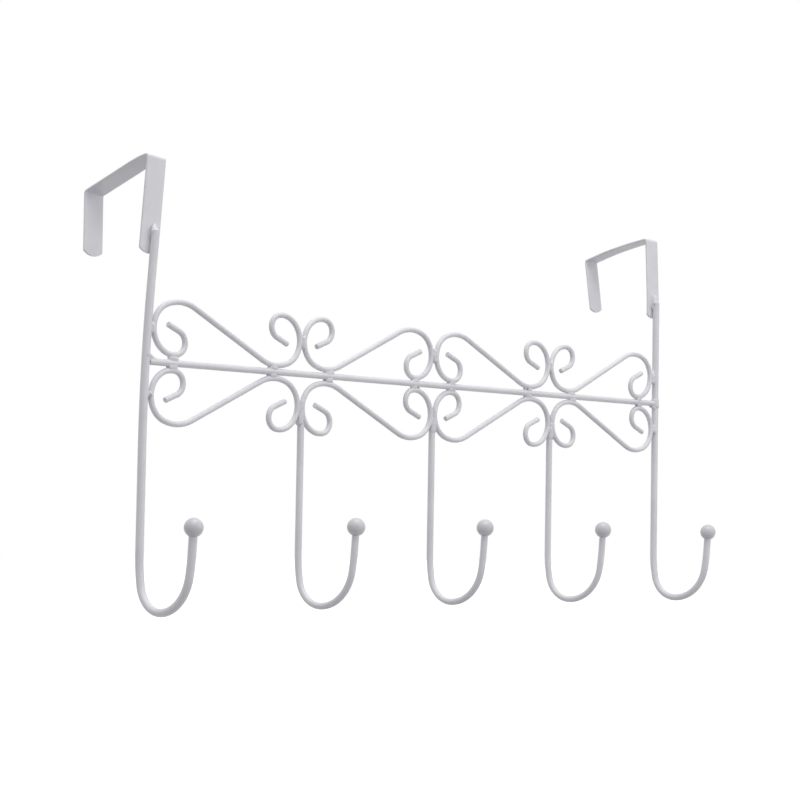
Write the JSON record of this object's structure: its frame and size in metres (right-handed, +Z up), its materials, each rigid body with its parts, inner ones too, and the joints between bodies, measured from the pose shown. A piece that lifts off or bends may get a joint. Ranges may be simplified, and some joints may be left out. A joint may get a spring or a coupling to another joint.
{
  "type": "over-the-door hook rail",
  "caption": "Over-the-door rail of bent coated wire with S scrolls, ball-tipped J hooks and bent strip brackets that hang over the top edge of a door.",
  "frame": {"origin": "at mid-length of the rail, where a door's front face meets its top edge: the plane of the upright-side legs' door faces, 100 mm above the crossbar's axis", "axes": "+X along the rail from its leaning upright to its straight one, +Y back through the door, +Z up"},
  "size_m": [0.4328, 0.0999, 0.2314],
  "materials": {
    "wire_coat": "satin white powder coat on steel wire",
    "strip_coat": "satin white powder coat on steel strip",
    "ball_coat": "satin white powder coat on steel balls",
    "weld_coat": "satin white powder coat over weld beads"
  },
  "bodies": {
    "root": {"crossbar": "wire_coat", "scroll_upper_1": "wire_coat", "scroll_upper_2": "wire_coat", "scroll_upper_3": "wire_coat", "scroll_upper_4": "wire_coat", "scroll_lower_1": "wire_coat", "scroll_lower_2": "wire_coat", "scroll_lower_3": "wire_coat", "scroll_lower_4": "wire_coat", "end_hook_left": "wire_coat", "end_hook_right": "wire_coat", "centre_hook_1": "wire_coat", "centre_hook_2": "wire_coat", "centre_hook_3": "wire_coat", "ball_tip_1": "ball_coat", "ball_tip_2": "ball_coat", "ball_tip_3": "ball_coat", "ball_tip_4": "ball_coat", "ball_tip_5": "ball_coat", "door_bracket_left": "strip_coat", "door_bracket_right": "strip_coat", "bar_end_welds": "weld_coat", "scroll_bar_welds": "weld_coat", "scroll_side_welds": "weld_coat", "scroll_pair_welds": "weld_coat", "hook_top_welds": "weld_coat", "bracket_welds": "weld_coat"}
  },
  "joints": []
}
